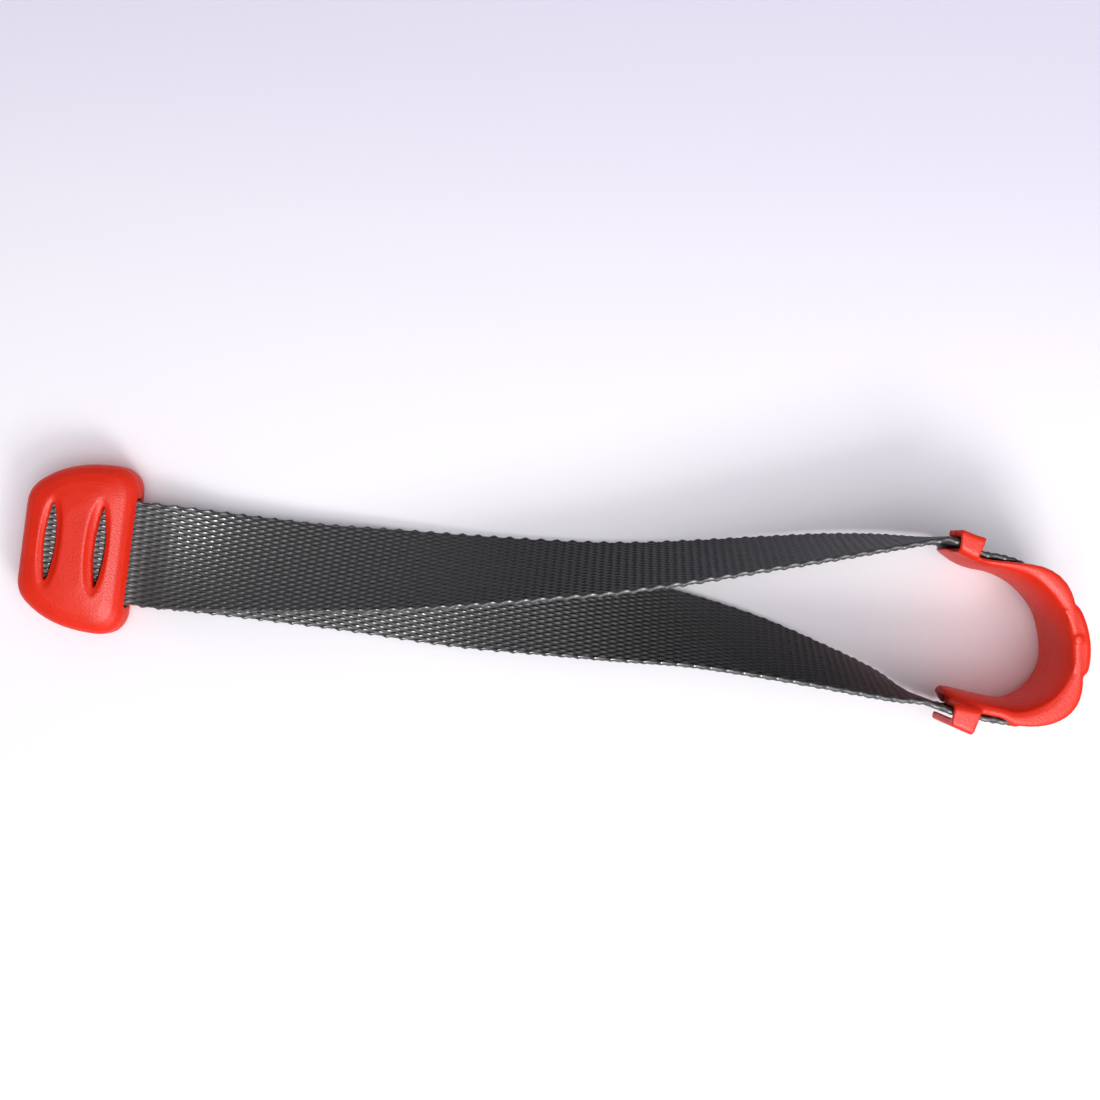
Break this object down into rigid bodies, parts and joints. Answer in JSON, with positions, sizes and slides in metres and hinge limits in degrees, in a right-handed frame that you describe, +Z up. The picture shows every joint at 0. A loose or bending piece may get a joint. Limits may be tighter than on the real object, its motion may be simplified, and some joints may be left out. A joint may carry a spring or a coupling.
{
  "type": "strap wrench",
  "caption": "Closed webbing loop that leaves a moulded stop block flat, turns on edge and wraps a curved cradle with open hooks and a rear bridge.",
  "frame": {"origin": "middle of the stop block's flat underside, which lies on the same surface as the cradle's rim", "axes": "+X along the strap from the stop block to the cradle, +Y across it, +Z up"},
  "size_m": [0.2517, 0.0506, 0.0286],
  "materials": {
    "block_red": "satin, fine grain",
    "cradle_red": "satin",
    "webbing": "ribbed woven webbing",
    "tack_thread": "twisted thread",
    "pin_steel": "plated"
  },
  "bodies": {
    "stop_block": {"block_top_shell": "block_red", "block_base_shell": "block_red", "anchor_pin": "pin_steel", "strap_turn": "webbing", "strap_end": "webbing", "lap_tack_1": "tack_thread", "lap_tack_2": "tack_thread", "lap_tack_3": "tack_thread"},
    "strap_root": {"strap_mouth_upper": "webbing", "strap_mouth_lower": "webbing"},
    "strap_far": {"strap_leg_upper": "webbing", "strap_leg_lower": "webbing", "strap_neck_upper": "webbing", "strap_neck_lower": "webbing"},
    "cradle": {"cradle": "cradle_red", "strap_bight": "webbing"}
  },
  "joints": [
    {"name": "mouth_fold", "type": "hinge", "parent": "stop_block", "child": "strap_root", "pos_m": [0.0168, 0, 0.0062], "axis": [0, -1, 0], "range_deg": [-90, 90], "deforming": ["strap_mouth_upper", "strap_mouth_lower"]},
    {"name": "strap_twist", "type": "hinge", "parent": "strap_root", "child": "strap_far", "pos_m": [0.0168, 0, 0.0062], "axis": [1, 0, 0], "range_deg": [-90, 90]},
    {"name": "cradle_rock", "type": "hinge", "parent": "strap_far", "child": "cradle", "pos_m": [0.217, 0.007, 0.0143], "axis": [0, 0, 1], "range_deg": [-8, 8], "deforming": ["strap_neck_upper", "strap_neck_lower"]}
  ]
}
